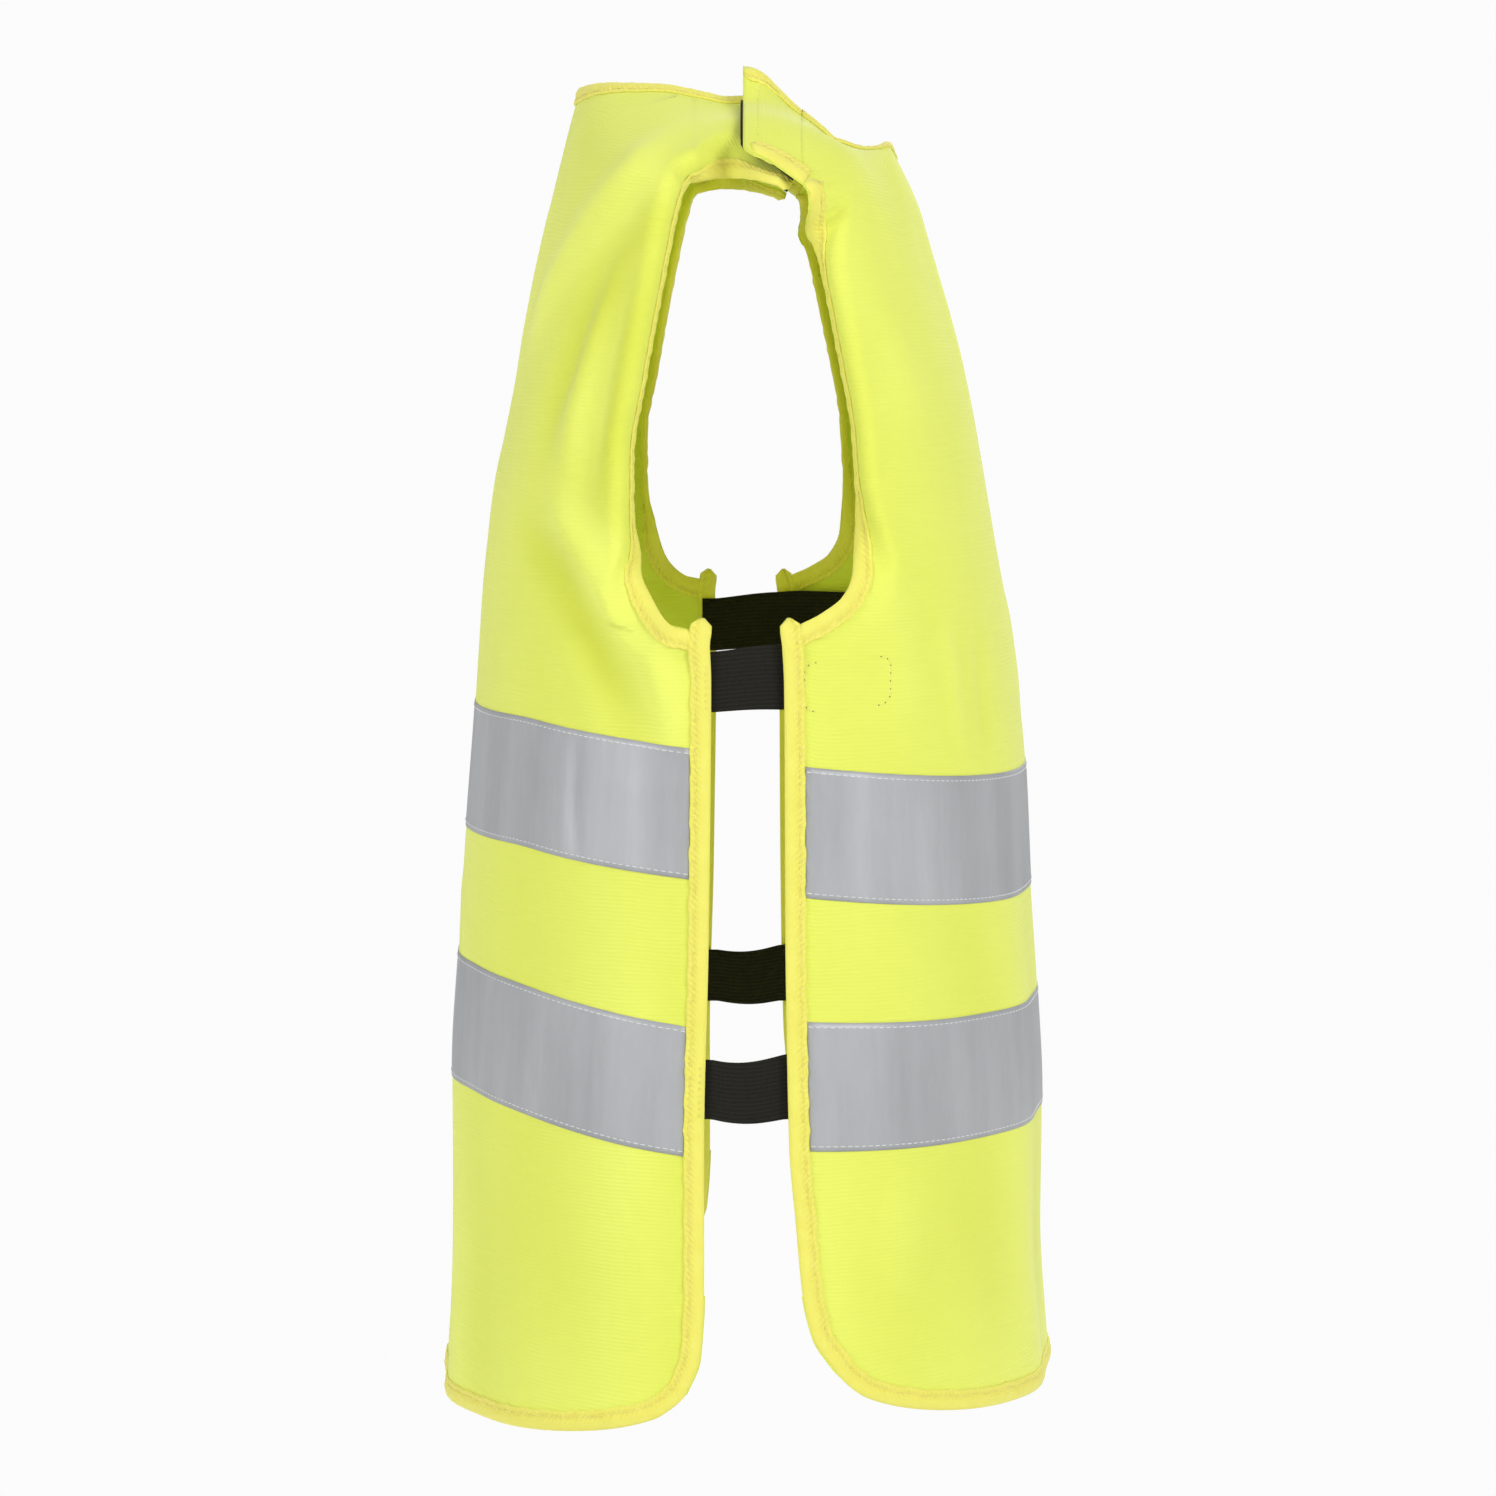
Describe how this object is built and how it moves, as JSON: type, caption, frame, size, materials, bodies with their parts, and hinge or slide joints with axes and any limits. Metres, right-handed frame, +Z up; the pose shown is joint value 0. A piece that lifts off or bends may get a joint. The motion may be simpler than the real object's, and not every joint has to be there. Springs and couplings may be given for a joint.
{
  "type": "high visibility vest",
  "caption": "Child-size pull-over high visibility vest with reflective bands front and back, peel-open shoulder flaps and elastic side straps fastened with hook-and-loop.",
  "frame": {"origin": "on the ground plane under the middle of the hanging vest", "axes": "+Z up, from hem to shoulders; the wearer faces -Y; the wearer's right is -X"},
  "size_m": [0.3074, 0.2494, 0.538],
  "materials": {
    "knit": "matte",
    "binding": "matte",
    "reflective_tape": "satin",
    "elastic": "matte",
    "fastener": "matte"
  },
  "bodies": {
    "back": {"back_panel": "knit", "back_upper_reflective_tape": "reflective_tape", "back_lower_reflective_tape": "reflective_tape", "back_neck_binding": "binding", "back_armhole_binding_right": "binding", "back_armhole_binding_left": "binding", "back_side_hem_binding": "binding", "shoulder_loop_strip_right": "fastener", "shoulder_loop_strip_left": "fastener"},
    "front": {"front_panel": "knit", "front_upper_reflective_tape": "reflective_tape", "front_lower_reflective_tape": "reflective_tape", "front_neck_binding": "binding", "front_armhole_binding_right": "binding", "front_armhole_binding_left": "binding", "front_side_hem_binding": "binding", "strap_loop_patch_right_upper": "fastener", "strap_loop_patch_right_lower": "fastener", "strap_loop_patch_left_upper": "fastener", "strap_loop_patch_left_lower": "fastener"},
    "right_flap": {"shoulder_flap_right": "knit", "shoulder_flap_neck_binding_right": "binding", "shoulder_flap_armhole_binding_right": "binding", "shoulder_hook_strip_right": "fastener"},
    "left_flap": {"shoulder_flap_left": "knit", "shoulder_flap_neck_binding_left": "binding", "shoulder_flap_armhole_binding_left": "binding", "shoulder_hook_strip_left": "fastener"},
    "right_upper_strap": {"elastic_strap_right_upper": "elastic", "strap_hook_tab_right_upper": "fastener"},
    "right_lower_strap": {"elastic_strap_right_lower": "elastic", "strap_hook_tab_right_lower": "fastener"},
    "left_upper_strap": {"elastic_strap_left_upper": "elastic", "strap_hook_tab_left_upper": "fastener"},
    "left_lower_strap": {"elastic_strap_left_lower": "elastic", "strap_hook_tab_left_lower": "fastener"}
  },
  "joints": [
    {"name": "front_panel_lift", "type": "hinge", "parent": "back", "child": "front", "pos_m": [0, -0.0214, 0.5334], "axis": [-1, 0, 0], "range_deg": [0, 60]},
    {"name": "right_flap_peel", "type": "hinge", "parent": "back", "child": "right_flap", "pos_m": [-0.10247, -0.02316, 0.51598], "axis": [0.9138, -0.0044, 0.406], "range_deg": [0, 100]},
    {"name": "left_flap_peel", "type": "hinge", "parent": "back", "child": "left_flap", "pos_m": [0.10247, -0.02316, 0.51598], "axis": [0.9138, 0.0044, -0.406], "range_deg": [0, 100]},
    {"name": "right_upper_strap_release", "type": "hinge", "parent": "back", "child": "right_upper_strap", "pos_m": [-0.1483, 0.00945, 0.30197], "axis": [0, 0, 1], "range_deg": [0, 75]},
    {"name": "right_lower_strap_release", "type": "hinge", "parent": "back", "child": "right_lower_strap", "pos_m": [-0.14932, 0.01117, 0.14597], "axis": [0, 0, 1], "range_deg": [0, 75]},
    {"name": "left_upper_strap_release", "type": "hinge", "parent": "back", "child": "left_upper_strap", "pos_m": [0.1483, 0.00945, 0.30197], "axis": [0, 0, -1], "range_deg": [0, 75]},
    {"name": "left_lower_strap_release", "type": "hinge", "parent": "back", "child": "left_lower_strap", "pos_m": [0.14932, 0.01117, 0.14597], "axis": [0, 0, -1], "range_deg": [0, 75]}
  ]
}
